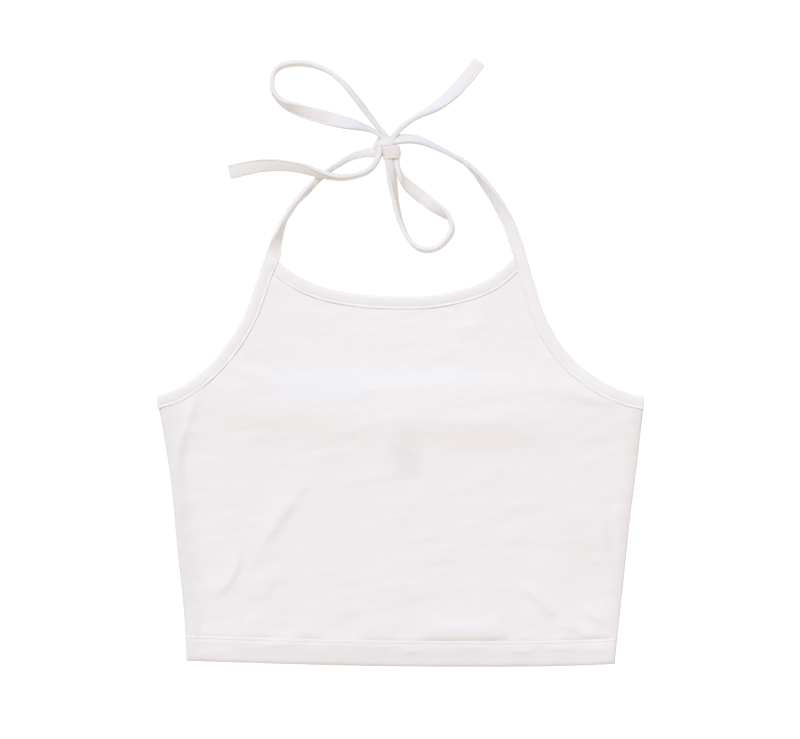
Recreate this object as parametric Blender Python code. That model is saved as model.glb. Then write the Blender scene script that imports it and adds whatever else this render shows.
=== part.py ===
"""White halter-neck crop top, lying flat with its two ties knotted in a bow.

The neckline points to +Y, the front panel faces +Z, and the origin is on the table, under the middle
of the garment with its ties. Sizes and places below are in millimetres.
"""

import math

import bmesh
import bpy
from mathutils import Vector

METRES = 0.001

# Cloth
WALL = 1.0
HEM_WALL = 1.5
HEM_DEPTH = 20.0
SEAM_GAP = 0.3
BINDING_WIDTH = 10.0
BINDING_THICKNESS = 2.2
TIE_WIDTH = 10.2
TIE_THICKNESS = 2.2
LABEL_WIDTH = 22.0
LABEL_LENGTH = 34.0
JERSEY_COLOUR = (0.86, 0.85, 0.85, 1.0)
JERSEY_ROUGHNESS = 0.9

# How far each side seam lies from the middle, from the hem up: the cloth narrows towards the waist.
SIDE_SEAM = (
    # y, left, right
    (-234.0, 167.9, 168.3),
    (-210.0, 169.1, 170.7),
    (-186.0, 170.9, 173.4),
    (-155.0, 174.3, 176.7),
    (-123.0, 177.3, 180.0),
    (-92.0, 180.5, 184.0),
    (-61.0, 185.2, 187.7),
    (-36.0, 189.7, 190.6),
)

# The hem sinks a little to the right of the middle.
HEM_EDGE = (
    # x, y
    (-167.9, -234.0),
    (-118.0, -235.5),
    (-60.0, -237.2),
    (0.0, -238.3),
    (75.0, -238.6),
    (130.0, -238.0),
    (168.3, -236.4),
)

# Outer edge of each armhole's binding, from the side seam up to the start of the tie.
ARMHOLE_LEFT = (
    # x, y
    (-190.4, -25.6),
    (-177.8, -21.6),
    (-165.0, -14.2),
    (-152.5, -3.6),
    (-140.1, 9.8),
    (-129.1, 25.5),
    (-121.0, 41.2),
    (-115.4, 56.9),
    (-111.2, 69.0),
    (-107.5, 80.0),
)
ARMHOLE_RIGHT = (
    # x, y
    (190.4, -26.4),
    (180.0, -24.2),
    (168.0, -19.8),
    (156.6, -13.7),
    (142.5, -3.6),
    (129.1, 10.0),
    (118.9, 25.5),
    (111.6, 41.2),
    (106.8, 56.9),
    (102.8, 69.5),
    (99.2, 82.0),
)

# Upper edge of the neck binding, between the two ties.
NECKLINE = (
    # x, y
    (-95.9, 79.6),
    (-88.3, 73.4),
    (-78.9, 67.2),
    (-64.8, 60.7),
    (-50.6, 56.9),
    (-31.8, 53.8),
    (-10.0, 52.3),
    (15.3, 52.3),
    (34.1, 54.5),
    (53.0, 59.1),
    (67.1, 64.8),
    (78.5, 72.6),
    (88.0, 82.2),
)

# Upper edge of the back, hidden under the front.
BACK_EDGE = (
    # x, y
    (-189.6, -25.8),
    (-100.0, -27.0),
    (0.0, -27.8),
    (100.0, -27.2),
    (189.6, -26.6),
)

# How the front lies over what is under it: it comes up from the table onto the back's binding over the
# drape length, and settles from there onto the back.
DRAPE_LENGTH = 27.0
DRAPE_MARGIN = 5.0
SETTLE_LENGTH = 32.0
HEM_EASE = 8.0
LABEL_MARGIN = 9.0
LABEL_EASE = 22.0
LOFT = 0.5
LOFT_MARGIN = 4.0
LOFT_EDGE = 40.0

# Ridges in the front, as soft lines from one end to the other that bow to their left.
FRONT_FOLDS = (
    # x0, y0, x1, y1, bow, half width, height
    (-163.0, -26.0, -177.0, -134.0, -8.0, 7.0, 1.6),
    (-128.0, -144.0, -151.0, -184.0, 7.0, 7.0, 1.5),
    (-66.0, -86.0, -118.0, -160.0, -6.0, 8.0, 1.5),
    (-92.0, -162.0, -118.0, -186.0, -2.0, 7.0, 0.9),
    (-104.0, -196.0, -128.0, -218.0, 2.0, 6.0, 0.8),
    (96.0, -175.0, 124.0, -199.0, 2.0, 6.0, 1.3),
    (120.0, -200.0, 154.0, -212.0, -1.5, 6.0, 1.2),
    (138.0, -191.0, 168.0, -202.0, -1.0, 6.0, 1.1),
    (8.0, -210.0, 86.0, -211.0, 2.0, 6.0, 1.5),
    (-140.0, 1.0, -100.0, -13.0, -1.0, 6.0, 1.2),
    (-126.0, 9.0, -102.0, 12.0, 1.0, 5.0, 0.7),
    (38.0, 24.0, 66.0, 35.0, -2.0, 6.0, 0.9),
    (126.0, -20.0, 172.0, -32.0, -1.0, 6.0, 1.0),
    (-26.0, -177.0, 24.0, -176.0, 1.0, 7.0, 0.6),
)

# Each stretch of the ties. Tilt is the strip's lean: 0 lies flat and 90 stands on its edge. Lift is the
# height of its lowest edge, and width is less than TIE_WIDTH where the strip is bunched.
STRAP_LEFT = (
    # x, y, tilt, lift, width
    (-102.2, 80.3, 0, 0, TIE_WIDTH),
    (-101.3, 84.5, 0, 0, TIE_WIDTH),
    (-99.0, 91.0, 12, 0, TIE_WIDTH),
    (-96.4, 99.5, 38, 0, TIE_WIDTH),
    (-93.0, 109.0, 62, 0, TIE_WIDTH),
    (-87.8, 118.5, 70, 0, TIE_WIDTH),
    (-81.3, 127.7, 70, 0, 9.6),
    (-75.2, 134.8, 62, 0, 8.0),
    (-68.8, 140.8, 42, 0, 5.0),
    (-62.3, 146.2, 32, 0, 4.4),
    (-55.4, 151.2, 42, 0, 5.4),
    (-48.0, 156.1, 52, 0, 8.0),
    (-40.6, 161.0, 50, 0, 8.8),
    (-33.6, 164.0, 36, 0, 8.2),
    (-26.6, 165.3, 22, 0, 7.0),
    (-20.4, 165.7, 12, 0, 6.6),
    (-14.4, 165.9, 8, 0, 6.4),
)
STRAP_RIGHT = (
    # x, y, tilt, lift, width
    (94.0, 82.3, 0, 0, TIE_WIDTH),
    (93.0, 86.4, 0, 0, TIE_WIDTH),
    (89.6, 95.8, -6, 0, TIE_WIDTH),
    (85.3, 107.1, -15, 0, TIE_WIDTH),
    (80.0, 118.3, -24, 0, TIE_WIDTH),
    (73.6, 129.4, -38, 0, TIE_WIDTH),
    (67.2, 139.1, -52, 0, TIE_WIDTH),
    (60.0, 148.7, -70, 0, TIE_WIDTH),
    (52.0, 155.9, -85, 0, TIE_WIDTH),
    (42.5, 161.5, -98, 0, TIE_WIDTH),
    (32.0, 167.0, -110, 0, TIE_WIDTH),
    (22.6, 171.4, -122, 0, 9.8),
    (13.5, 174.2, -134, 0, 8.8),
    (6.0, 174.9, -146, 0, 8.0),
    (-1.1, 173.9, -158, 0, 7.2),
)
LOOP_UPPER = (
    # x, y, tilt, lift, width
    (-8.0, 171.3, 84, 0.6, 8.0),
    (-11.8, 176.6, 80, 0, 9.4),
    (-17.6, 184.4, 72, 0, TIE_WIDTH),
    (-26.6, 197.0, 70, 0, TIE_WIDTH),
    (-36.7, 210.1, 75, 0, TIE_WIDTH),
    (-46.9, 221.6, 85, 0, TIE_WIDTH),
    (-59.0, 229.9, 92, 0, TIE_WIDTH),
    (-74.2, 234.7, 100, 0, TIE_WIDTH),
    (-89.0, 233.9, 103, 0, TIE_WIDTH),
    (-98.0, 228.0, 98, 0, TIE_WIDTH),
    (-101.0, 219.6, 90, 0, TIE_WIDTH),
    (-98.5, 211.0, 75, 0, TIE_WIDTH),
    (-90.2, 202.9, 48, 0, TIE_WIDTH),
    (-76.5, 197.2, 18, 0, TIE_WIDTH),
    (-59.0, 192.4, 0, 0, TIE_WIDTH),
    (-43.6, 188.4, -32, 0, TIE_WIDTH),
    (-29.5, 184.8, -64, 0, TIE_WIDTH),
    (-20.6, 180.4, -78, 0, 9.4),
    (-15.4, 175.6, -84, 0, 8.6),
    (-11.6, 171.0, -86, 0.6, 8.0),
)
LOOP_LOWER = (
    # x, y, tilt, lift, width
    (-9.2, 158.6, -42, 0, 8.4),
    (-7.8, 151.0, -42, 0, 9.4),
    (-6.7, 143.0, -44, 0, TIE_WIDTH),
    (-4.9, 132.3, -55, 0, TIE_WIDTH),
    (-2.4, 120.0, -68, 0, TIE_WIDTH),
    (1.6, 107.5, -80, 0, TIE_WIDTH),
    (7.4, 96.4, -90, 0, TIE_WIDTH),
    (13.8, 89.9, -99, 0, TIE_WIDTH),
    (21.2, 87.9, -105, 0, TIE_WIDTH),
    (29.3, 90.0, -105, 0, TIE_WIDTH),
    (36.3, 96.0, -105, 0, TIE_WIDTH),
    (40.0, 104.0, -102, 0, TIE_WIDTH),
    (39.4, 111.4, -88, 0, TIE_WIDTH),
    (35.4, 117.2, -58, 0, TIE_WIDTH),
    (26.0, 123.6, -25, 0, TIE_WIDTH),
    (14.7, 131.9, 4, 0, TIE_WIDTH),
    (6.2, 139.7, 36, 0, TIE_WIDTH),
    (0.6, 146.4, 64, 0, 9.4),
    (-1.7, 152.6, 76, 0, 8.6),
    (-2.4, 158.9, 80, 0, 8.0),
)
TAIL_UPPER = (
    # x, y, tilt, lift, width
    (-4.2, 170.8, -88, 0.6, 8.0),
    (-3.2, 176.5, -80, 0, 8.8),
    (-0.8, 182.0, -70, 0, 9.6),
    (3.8, 187.3, -65, 0, TIE_WIDTH),
    (9.9, 191.7, -63, 0, TIE_WIDTH),
    (16.5, 195.3, -60, 0, TIE_WIDTH),
    (23.1, 198.5, -50, 0, TIE_WIDTH),
    (29.7, 202.0, -35, 0, TIE_WIDTH),
    (36.3, 206.8, -25, 0, TIE_WIDTH),
    (42.9, 212.9, -15, 0, TIE_WIDTH),
    (49.5, 220.4, -8, 0, TIE_WIDTH),
    (55.6, 228.2, -5, 0, TIE_WIDTH),
    (61.4, 236.0, -3, 0, TIE_WIDTH),
)
TAIL_LEFT = (
    # x, y, tilt, lift, width
    (-16.1, 167.6, -80, 4.6, 5.6),
    (-16.3, 164.2, -78, 4.6, 5.6),
    (-17.6, 160.4, -76, 4.6, 6.0),
    (-19.8, 156.6, -72, 3.4, 7.0),
    (-23.3, 152.4, -68, 1.4, 8.4),
    (-29.3, 148.6, -65, 0.3, 9.6),
    (-36.4, 146.2, -65, 0.2, 9.8),
    (-43.6, 145.0, -66, 1.2, 8.8),
    (-50.6, 145.1, -62, 3.6, 7.6),
    (-57.7, 146.2, -56, 4.9, 7.0),
    (-66.2, 148.4, -50, 4.9, 7.0),
    (-75.4, 151.2, -42, 3.2, 8.6),
    (-85.0, 153.6, -34, 1.2, TIE_WIDTH),
    (-95.5, 154.8, -26, 0.2, TIE_WIDTH),
    (-105.2, 154.8, -20, 0, TIE_WIDTH),
    (-115.0, 153.7, -13, 0, TIE_WIDTH),
    (-124.7, 151.7, -7, 0, TIE_WIDTH),
    (-133.4, 149.4, -5, 0, TIE_WIDTH),
)

# The knot's wrap, a sleeve of tie round the strands, from its lower end to its upper end.
KNOT_MIDDLE = -6.9
KNOT_HEIGHT = 10.4
KNOT_SECTIONS = (
    # y, half width, height as a part of KNOT_HEIGHT
    (159.7, 5.9, 0.80),
    (160.5, 6.9, 0.93),
    (162.4, 7.3, 1.00),
    (165.0, 7.3, 0.98),
    (167.6, 7.2, 1.00),
    (169.2, 6.7, 0.93),
    (170.0, 5.8, 0.80),
)

KNOT_SQUARENESS = 0.6

# The back's side seams lie a little inside the front's.
BACK_INSET = 0.5
HEM_STEP = 2.0

# Mesh steps
FRONT_COLUMNS = 30
FRONT_HEM_ROWS = 2
FRONT_SIDE_ROWS = 20
FRONT_ARMHOLE_ROWS = 18
BACK_COLUMNS = 10
BACK_ROWS = 6
BINDING_STEPS = 22
TIE_STEP = 7.5
KNOT_SIDES = 16

# Cross-section of a binding: how far in from its outer edge, and how high, as parts of its size.
BINDING_SECTION = (
    # across, height
    (0.00, 0.25),
    (0.00, 0.70),
    (0.07, 0.98),
    (0.50, 1.00),
    (0.94, 0.98),
    (1.00, 0.78),
    (1.00, 0.10),
    (0.50, 0.00),
    (0.06, 0.00),
)

# Cross-section of a tie, as parts of its half width and half thickness.
TIE_SECTION = (
    # across, height
    (1.00, 0.55),
    (0.84, 1.00),
    (-0.84, 1.00),
    (-1.00, 0.55),
    (-1.00, -0.55),
    (-0.84, -1.00),
    (0.84, -1.00),
    (1.00, -0.55),
)


def clear_scene():
    for obj in list(bpy.data.objects):
        bpy.data.objects.remove(obj)


def ease(value, start, stop):
    """0 at start and 1 at stop, with no corner at either."""
    part = min(1.0, max(0.0, (value - start) / (stop - start)))
    return part * part * (3 - 2 * part)


def blend(a, b, part):
    return a + (b - a) * part


def through(rows, steps=8):
    """Rows of numbers joined by a smooth curve, with this many steps between two rows."""
    vectors = [Vector(row) for row in rows]
    before = [2 * vectors[0] - vectors[1], *vectors[:-1]]
    after = [*vectors[1:], 2 * vectors[-1] - vectors[-2]]
    slopes = [(b - a) / 2 for a, b in zip(before, after)]
    found = []
    for k in range(len(vectors) - 1):
        for step in range(steps):
            t = step / steps
            found.append(
                (2 * t**3 - 3 * t**2 + 1) * vectors[k]
                + (t**3 - 2 * t**2 + t) * slopes[k]
                + (3 * t**2 - 2 * t**3) * vectors[k + 1]
                + (t**3 - t**2) * slopes[k + 1]
            )
    return [*found, vectors[-1]]


def spaced(path, count):
    """count + 1 rows of the path, evenly spaced along its first two columns."""
    lengths = [0.0]
    for a, b in zip(path, path[1:]):
        lengths.append(lengths[-1] + math.dist(a[:2], b[:2]))
    found = []
    k = 0
    for step in range(count + 1):
        wanted = lengths[-1] * step / count
        while k < len(path) - 2 and lengths[k + 1] < wanted:
            k += 1
        part = (wanted - lengths[k]) / (lengths[k + 1] - lengths[k])
        found.append(path[k].lerp(path[k + 1], part))
    return found


def heading(path, k):
    """Unit direction of the path at its row k, in plan."""
    ahead = path[min(k + 1, len(path) - 1)]
    behind = path[max(k - 1, 0)]
    return Vector((ahead[0] - behind[0], ahead[1] - behind[1])).normalized()


def beside(path, distance):
    """The path moved to its left by this distance, or to its right if that is negative."""
    found = []
    for k, point in enumerate(path):
        along = heading(path, k)
        found.append(Vector((point[0] - along.y * distance, point[1] + along.x * distance)))
    return found


def height_at(path, x):
    """The path's y where it passes this x, for a path that runs one way along x."""
    for a, b in zip(path, path[1:]):
        if a.x <= x <= b.x:
            return blend(a.y, b.y, (x - a.x) / (b.x - a.x))
    return path[0].y if x < path[0].x else path[-1].y


def half_width(x, y):
    """How far the side seam lies from the middle, on this place's side."""
    column = 1 if x < 0 else 2
    rows = [Vector((row[0], row[column])) for row in SIDE_SEAM]
    return height_at(through(rows), y)


def line_crossing(path, other):
    """Number of the first row of the path that lies above the other path."""
    for k, point in enumerate(path):
        if point.y >= height_at(other, point.x):
            return k
    return len(path) - 1


def fold_height(folds, x, y):
    """Height that the folds add at a place."""
    total = 0.0
    for x0, y0, x1, y1, bow, half, height in folds:
        length = math.hypot(x1 - x0, y1 - y0)
        along = ((x - x0) * (x1 - x0) + (y - y0) * (y1 - y0)) / length**2
        if not 0 < along < 1:
            continue
        off = ((x1 - x0) * (y - y0) - (y1 - y0) * (x - x0)) / length
        off -= 4 * bow * along * (1 - along)
        total += height * math.sin(math.pi * along) * math.exp(-((off / half) ** 2))
    return total


BACK_TOP = through(BACK_EDGE)
HEM_CURVE = through(HEM_EDGE)
LABEL_TOP = BACK_EDGE[2][1] - BINDING_WIDTH - SEAM_GAP
HEM_LEFT, HEM_RIGHT = Vector(HEM_EDGE[0]), Vector(HEM_EDGE[-1])


def under_front(x, y):
    """Height of the front's underside: it lies on the back and its binding, and above them on the table."""
    on_binding = BINDING_THICKNESS + SEAM_GAP
    on_back = WALL + SEAM_GAP
    top = height_at(BACK_TOP, x)
    if y > top:
        above = blend(on_binding, 0.0, ease(y, top + DRAPE_MARGIN, top + DRAPE_LENGTH))
        return above + fold_height(FRONT_FOLDS, x, y)
    below = top - BINDING_WIDTH - y
    rest = blend(on_binding, on_back, ease(below, DRAPE_MARGIN, SETTLE_LENGTH))
    hem = height_at(HEM_CURVE, x) + HEM_DEPTH
    rest += (HEM_WALL - WALL) * ease(hem - y, -HEM_EASE, 0)
    off_label = max(abs(x) - LABEL_WIDTH / 2, LABEL_TOP - LABEL_LENGTH - y)
    on_label = ease(LABEL_EASE - off_label, 0, LABEL_EASE - LABEL_MARGIN)
    on_label *= ease(top - y, 0, BINDING_WIDTH)
    rest = blend(rest, on_back + WALL + SEAM_GAP, on_label)
    inside = min(half_width(x, y) - abs(x), y - hem, top - y)
    rest += LOFT * ease(inside, LOFT_MARGIN, LOFT_EDGE)
    return rest + fold_height(FRONT_FOLDS, x, y)


def make_material(name):
    material = bpy.data.materials.new(name)
    material.use_nodes = True
    shader = material.node_tree.nodes["Principled BSDF"]
    shader.inputs["Base Color"].default_value = JERSEY_COLOUR
    shader.inputs["Roughness"].default_value = JERSEY_ROUGHNESS
    shader.inputs["Metallic"].default_value = 0.0
    return material


def fill_end(shape, ring):
    """Fills a ring with a row of faces that join its first half to its second."""
    last = len(ring) - 1
    for k in range(last // 2):
        corners = (ring[k], ring[k + 1], ring[last - k - 1], ring[last - k])
        shape.faces.new(list(dict.fromkeys(corners)))


def make_solid(name, rings, garment):
    """A solid through rings of points: each ring is joined to the next, and the end rings are filled."""
    shape = bmesh.new()
    corners = [[shape.verts.new(Vector(point) * METRES) for point in ring] for ring in rings]
    sides = len(corners[0])
    for ring, after in zip(corners, corners[1:]):
        for k in range(sides):
            following = (k + 1) % sides
            shape.faces.new((ring[k], ring[following], after[following], after[k]))
    fill_end(shape, corners[0])
    fill_end(shape, corners[-1])
    bmesh.ops.triangulate(shape, faces=shape.faces)
    bmesh.ops.recalc_face_normals(shape, faces=shape.faces)
    mesh = bpy.data.meshes.new(name)
    shape.to_mesh(mesh)
    shape.free()
    mesh.shade_smooth()
    mesh.set_sharp_from_angle(angle=math.radians(50))
    mesh.materials.append(make_material(name + "_cloth"))
    obj = bpy.data.objects.new(name, mesh)
    obj.parent = garment
    bpy.context.scene.collection.objects.link(obj)
    return obj


def make_panel(name, rows, garment):
    """A cloth wall from rows of (upper point, lower point) pairs: each row becomes one flat ring."""
    rings = []
    for row in rows:
        upper = [pair[0] for pair in row]
        lower = [pair[1] for pair in reversed(row)]
        rings.append(upper + lower)
    return make_solid(name, rings, garment)


def armhole_edge(armhole, distance):
    """A line inside an armhole's outer edge, cut off straight above the side seam and at the tie."""
    outer = through(armhole)
    inwards = -1 if armhole is ARMHOLE_LEFT else 1
    line = beside(outer, distance * inwards)
    slant = heading(outer, 0)
    line[0] = Vector((outer[0].x, outer[0].y - distance / abs(slant.x)))
    slant = heading(outer, len(outer) - 1)
    line[-1] = Vector((outer[-1].x - inwards * distance / slant.y, outer[-1].y))
    return line


def front_side(armhole, neck):
    """Three stretches of a side of the front: its hem, its side seam, and its armhole up to the neck."""
    sign, hem_y = (-1, HEM_LEFT.y) if armhole is ARMHOLE_LEFT else (1, HEM_RIGHT.y)
    curve = armhole_edge(armhole, BINDING_WIDTH + SEAM_GAP)
    curve = curve[: line_crossing(curve, neck) + 1]

    def seam(low, high, count):
        levels = [blend(low, high, k / count) for k in range(count + 1)]
        return [Vector((sign * half_width(sign, y), y)) for y in levels]

    hem_top = hem_y + HEM_DEPTH
    hem = seam(hem_y, hem_top, FRONT_HEM_ROWS)
    side = seam(hem_top + HEM_STEP, curve[0].y, FRONT_SIDE_ROWS)
    return hem, side, spaced(curve, FRONT_ARMHOLE_ROWS)[1:]


def bend_of(curve, start, stop, u):
    """How far a curve lies above the straight line between two points, at part u of the way."""
    x = blend(start.x, stop.x, u)
    return height_at(curve, x) - blend(start.y, stop.y, u)


def make_front(garment):
    """The front panel: rows from the hem up, which bend to the hem below and to the neckline above."""
    neck = beside(through(NECKLINE), -(BINDING_WIDTH + SEAM_GAP))
    left = front_side(ARMHOLE_LEFT, neck)
    right = front_side(ARMHOLE_RIGHT, neck)
    neck_ends = left[2][-1], right[2][-1]
    ends = []
    for k in range(FRONT_HEM_ROWS + 1):
        ends.append((left[0][k], right[0][k], 1.0, 0.0, HEM_WALL))
    for k in range(FRONT_SIDE_ROWS + 1):
        hem_share = 1.0 - ease(k, 0, FRONT_SIDE_ROWS / 2)
        ends.append((left[1][k], right[1][k], hem_share, 0.0, WALL))
    for k in range(FRONT_ARMHOLE_ROWS):
        neck_share = ((k + 1) / FRONT_ARMHOLE_ROWS) ** 2
        ends.append((left[2][k], right[2][k], 0.0, neck_share, WALL))
    rows = []
    for start, stop, hem_share, neck_share, wall in ends:
        row = []
        for column in range(FRONT_COLUMNS + 1):
            u = column / FRONT_COLUMNS
            x = blend(start.x, stop.x, u)
            y = blend(start.y, stop.y, u)
            y += hem_share * bend_of(HEM_CURVE, HEM_LEFT, HEM_RIGHT, u)
            y += neck_share * bend_of(neck, *neck_ends, u)
            under = under_front(x, y)
            row.append(((x, y, under + wall), (x, y, under)))
        rows.append(row)
    return make_panel("front_panel", rows, garment)


def make_back(garment):
    """The back panel, flat on the table up to its binding, with its hem turned up."""
    height = BACK_EDGE[0][1] - BINDING_WIDTH - SEAM_GAP - HEM_LEFT.y - BACK_INSET
    start = HEM_DEPTH + HEM_STEP
    levels = [(0.0, HEM_WALL), (HEM_DEPTH, HEM_WALL), (start, WALL)]
    levels += [(blend(start, height, k / BACK_ROWS), WALL) for k in range(1, BACK_ROWS + 1)]
    rows = []
    for rise, wall in levels:
        row = []
        for column in range(BACK_COLUMNS + 1):
            across = 2 * column / BACK_COLUMNS - 1
            hem_y = height_at(HEM_CURVE, across * HEM_RIGHT.x) + BACK_INSET
            top_y = height_at(BACK_TOP, across * BACK_EDGE[-1][0]) - BINDING_WIDTH - SEAM_GAP
            y = blend(hem_y, top_y, rise / height)
            x = across * (half_width(across, y) - BACK_INSET)
            row.append(((x, y, wall), (x, y, 0.0)))
        rows.append(row)
    return make_panel("back_panel", rows, garment)


def make_binding(name, outer, inner, under, garment):
    """A folded strip between its outer and inner edges, lying on what is under it."""
    rings = []
    for a, b in zip(spaced(outer, BINDING_STEPS), spaced(inner, BINDING_STEPS)):
        ring = []
        for across, height in BINDING_SECTION:
            place = a.lerp(b, across)
            ring.append((place.x, place.y, under(place.x, place.y) + height * BINDING_THICKNESS))
        rings.append(ring)
    return make_solid(name, rings, garment)


def on_table(x, y):
    return 0.0


def make_bindings(garment):
    for side, armhole in (("left", ARMHOLE_LEFT), ("right", ARMHOLE_RIGHT)):
        edges = through(armhole), armhole_edge(armhole, BINDING_WIDTH)
        make_binding("armhole_binding_" + side, *edges, under_front, garment)
    outer = through(NECKLINE)
    inner = beside(outer, -BINDING_WIDTH)
    for armhole, end in ((ARMHOLE_LEFT, 0), (ARMHOLE_RIGHT, -1)):
        seam = armhole_edge(armhole, BINDING_WIDTH + SEAM_GAP)
        inner[end] = seam[line_crossing(seam, inner)]
        outer[end] = seam[line_crossing(seam, outer)]
    make_binding("neck_binding", outer, inner, on_table, garment)
    make_binding("back_binding", BACK_TOP, beside(BACK_TOP, -BINDING_WIDTH), on_table, garment)


def make_label(garment):
    """A plain label on the inside of the back, hanging from its binding."""
    base = WALL + SEAM_GAP
    rows = []
    for y in (LABEL_TOP, LABEL_TOP - LABEL_LENGTH):
        sides = (-LABEL_WIDTH / 2, LABEL_WIDTH / 2)
        rows.append([((x, y, base + WALL), (x, y, base)) for x in sides])
    return make_panel("label", rows, garment)


def make_tie(name, table, garment):
    """One stretch of a tie, swept along its table's route. A strap starts level, on its binding's end."""
    path = through(table)
    length = sum(math.dist(a[:2], b[:2]) for a, b in zip(path, path[1:]))
    stations = spaced(path, round(length / TIE_STEP))
    rings = []
    for k, (x, y, tilt, lift, width) in enumerate(stations):
        along = heading(stations, k)
        if k == 0 and name.startswith("strap"):
            along = Vector((0.0, 1.0))
        lean = math.radians(tilt)
        wide = Vector((-along.y * math.cos(lean), along.x * math.cos(lean), math.sin(lean)))
        thick = Vector((along.y * math.sin(lean), -along.x * math.sin(lean), math.cos(lean)))
        points = [
            wide * (across * width / 2) + thick * (height * TIE_THICKNESS / 2)
            for across, height in TIE_SECTION
        ]
        middle = Vector((x, y, max(lift, 0.0) - min(point.z for point in points)))
        rings.append([middle + point for point in points])
    return make_solid(name, rings, garment)


def make_knot(garment):
    """The sleeve round the strands, as rounded sections with a flat underside."""
    rings = []
    for y, half, share in KNOT_SECTIONS:
        ring = []
        for k in range(KNOT_SIDES):
            angle = 2 * math.pi * k / KNOT_SIDES
            across = math.copysign(abs(math.cos(angle)) ** KNOT_SQUARENESS, math.cos(angle))
            up = math.copysign(abs(math.sin(angle)) ** KNOT_SQUARENESS, math.sin(angle))
            height = KNOT_HEIGHT * share * (0.5 + 0.5 * up)
            ring.append((KNOT_MIDDLE + half * across, y, height))
        rings.append(ring)
    return make_solid("knot", rings, garment)


def main():
    clear_scene()
    garment = bpy.data.objects.new("garment", None)
    bpy.context.scene.collection.objects.link(garment)
    make_front(garment)
    make_back(garment)
    make_bindings(garment)
    make_label(garment)
    ties = {
        "strap_left": STRAP_LEFT,
        "strap_right": STRAP_RIGHT,
        "loop_upper": LOOP_UPPER,
        "loop_lower": LOOP_LOWER,
        "tail_upper": TAIL_UPPER,
        "tail_left": TAIL_LEFT,
    }
    for name, table in ties.items():
        make_tie(name, table, garment)
    make_knot(garment)


main()
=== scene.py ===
"""Looks of a white halter-neck crop top that lies flat with its ties knotted in a bow.

Every piece is a fine cloth shell on the form of its solid. Sizes and places below are in millimetres, in
the frame's axes, and shapes are turned into metres when a mesh is made.
"""

import functools
import math

import bpy
import numpy as np
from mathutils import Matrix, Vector


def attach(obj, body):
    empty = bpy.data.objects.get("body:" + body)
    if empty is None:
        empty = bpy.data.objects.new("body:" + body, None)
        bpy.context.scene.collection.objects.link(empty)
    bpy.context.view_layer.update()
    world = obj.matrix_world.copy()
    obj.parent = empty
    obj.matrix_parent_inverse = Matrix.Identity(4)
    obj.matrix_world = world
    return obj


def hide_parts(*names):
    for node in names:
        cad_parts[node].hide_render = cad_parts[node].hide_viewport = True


METRES = 0.001

# Cloth
WALL = 1.0
HEM_WALL = 1.5
HEM_DEPTH = 20.0
SEAM_GAP = 0.3
BINDING_WIDTH = 10.0
BINDING_THICKNESS = 2.2
TIE_WIDTH = 10.2
TIE_THICKNESS = 2.9
# A folded strip that stands on its edge opens by this part of its thickness.
STANDING_SWELL = 0.32
# Where it is bunched, it is thicker by this part of the share of its width that is missing.
BUNCHED_SWELL = 0.35
FREE_END_THICKNESS = 0.45
LABEL_WIDTH = 22.0
LABEL_LENGTH = 34.0
LABEL_WALL = 0.35
LABEL_MARGIN = 0.2
LABEL_TOP_FACE = WALL + SEAM_GAP + 0.45

# The photograph's frame, in pixels, and what one pixel spans on the table.
PHOTO_WIDTH = 800
PHOTO_HEIGHT = 739
PIXEL = 0.785
ORIGIN_PIXEL = (400.5, 362.5)

# How far each side seam lies from the middle, from the hem up.
SIDE_SEAM = (
    # y, left, right
    (-234, 167.9, 168.3),
    (-210, 169.1, 170.7),
    (-186, 170.9, 173.4),
    (-155, 174.3, 176.7),
    (-123, 177.3, 180),
    (-92, 180.5, 184),
    (-61, 185.2, 187.7),
    (-36, 189.7, 190.6),
)
HEM_EDGE = (
    # x, y
    (-167.9, -234),
    (-118, -235.5),
    (-60, -237.2),
    (0, -238.3),
    (75, -238.6),
    (130, -238),
    (168.3, -236.4),
)
ARMHOLE_LEFT = (
    # x, y
    (-190.4, -25.6),
    (-177.8, -21.6),
    (-165, -14.2),
    (-152.5, -3.6),
    (-140.1, 9.8),
    (-129.1, 25.5),
    (-121, 41.2),
    (-115.4, 56.9),
    (-111.2, 69),
    (-107.5, 80),
)
ARMHOLE_RIGHT = (
    # x, y
    (190.4, -26.4),
    (180, -24.2),
    (168, -19.8),
    (156.6, -13.7),
    (142.5, -3.6),
    (129.1, 10),
    (118.9, 25.5),
    (111.6, 41.2),
    (106.8, 56.9),
    (102.8, 69.5),
    (99.2, 82),
)
NECKLINE = (
    # x, y
    (-95.9, 79.6),
    (-88.3, 73.4),
    (-78.9, 67.2),
    (-64.8, 60.7),
    (-50.6, 56.9),
    (-31.8, 53.8),
    (-10, 52.3),
    (15.3, 52.3),
    (34.1, 54.5),
    (53, 59.1),
    (67.1, 64.8),
    (78.5, 72.6),
    (88, 82.2),
)
BACK_EDGE = (
    # x, y
    (-189.6, -25.8),
    (-100, -27),
    (0, -27.8),
    (100, -27.2),
    (189.6, -26.6),
)

# How the front lies over what is under it.
DRAPE_LENGTH = 27.0
DRAPE_MARGIN = 5.0
SETTLE_LENGTH = 32.0
HEM_EASE = 8.0
LOFT = 0.5
LOFT_MARGIN = 4.0
LOFT_EDGE = 40.0

# The panels' shells. Their cloth ends under the bindings, TUCK from their outer edges. The front's columns
# are closer together at its sides, and its rows at the hem's stitches.
TUCK = 8.9
FRONT_SHELL = 0.9
THINNEST_SHELL = 0.35
TABLE_CLEARANCE = 0.06
FRONT_COLUMNS = 224
COLUMN_CROWDING = 0.3
HEM_LEVELS = np.concatenate([np.linspace(0.0, 16.0, 13), np.linspace(16.4, 22.0, 15)])
FRONT_HEM_ROWS = len(HEM_LEVELS) - 1
FRONT_SIDE_ROWS = 108
FRONT_ARMHOLE_ROWS = 76
BACK_COLUMNS = 150
BACK_ROWS = 100
BACK_UNDERSIDE = 0.05
BACK_THINNEST = 0.3
BACK_INSET = 0.4
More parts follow.
